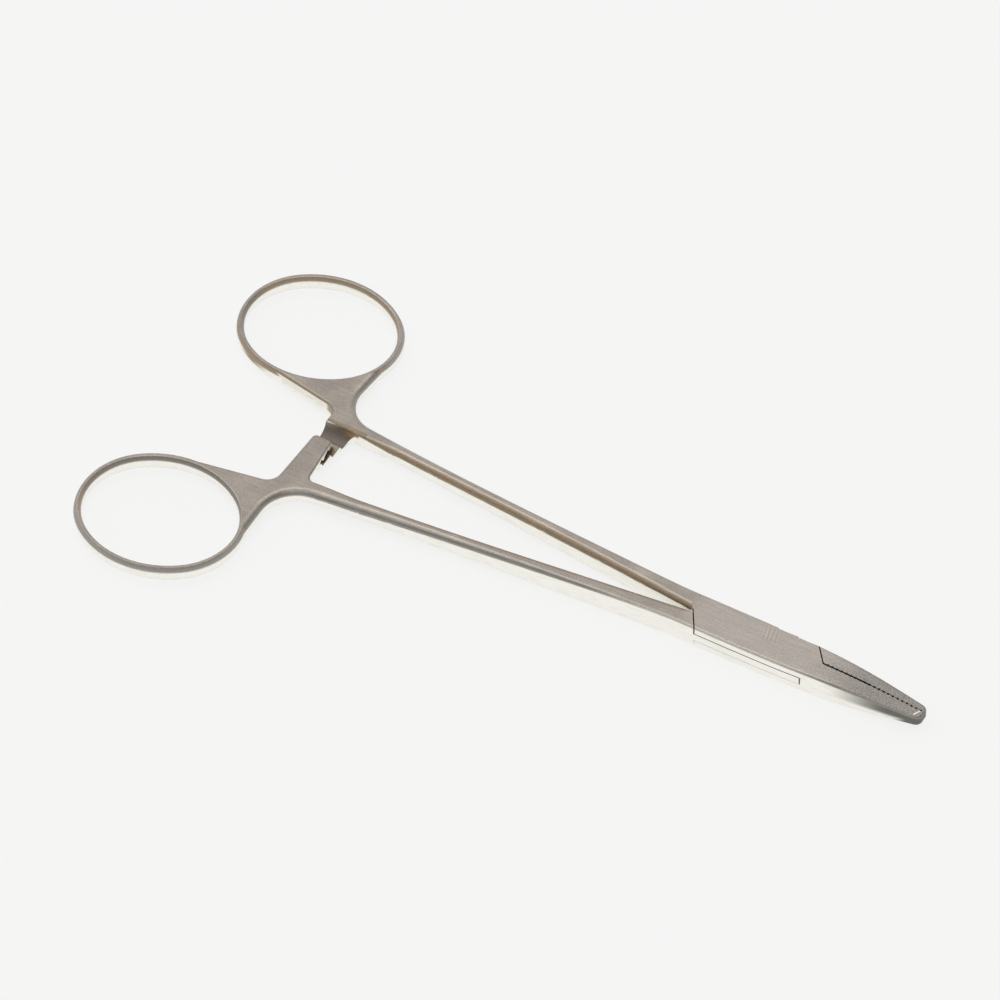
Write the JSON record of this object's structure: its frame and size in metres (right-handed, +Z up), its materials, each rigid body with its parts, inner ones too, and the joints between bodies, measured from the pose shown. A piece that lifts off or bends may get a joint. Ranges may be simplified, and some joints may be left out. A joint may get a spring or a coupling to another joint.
{
  "type": "needle holder",
  "caption": "Slim steel needle holder with oval finger rings, long tapering shanks, ratchet arms, a box lock and short serrated jaws, shown closed and latched.",
  "frame": {"origin": "on the axis of the lock's pin, level with the underside of the box", "axes": "+X from the pivot to the jaw tips, +Y towards the finger ring of the box half, +Z up through the thickness of the steel"},
  "size_m": [0.1399, 0.0738, 0.0042],
  "materials": {
    "box_half_steel": "satin brushed stainless steel",
    "through_half_steel": "satin brushed stainless steel",
    "pin_steel": "ground flush with the box"
  },
  "bodies": {
    "box_side": {"box_half": "box_half_steel", "lock_pin": "pin_steel"},
    "through_side": {"through_half": "through_half_steel"}
  },
  "joints": [
    {"name": "lock_hinge", "type": "hinge", "parent": "box_side", "child": "through_side", "pos_m": [0, 0, 0.0021], "axis": [0, 0, 1], "range_deg": [0, 60]}
  ]
}
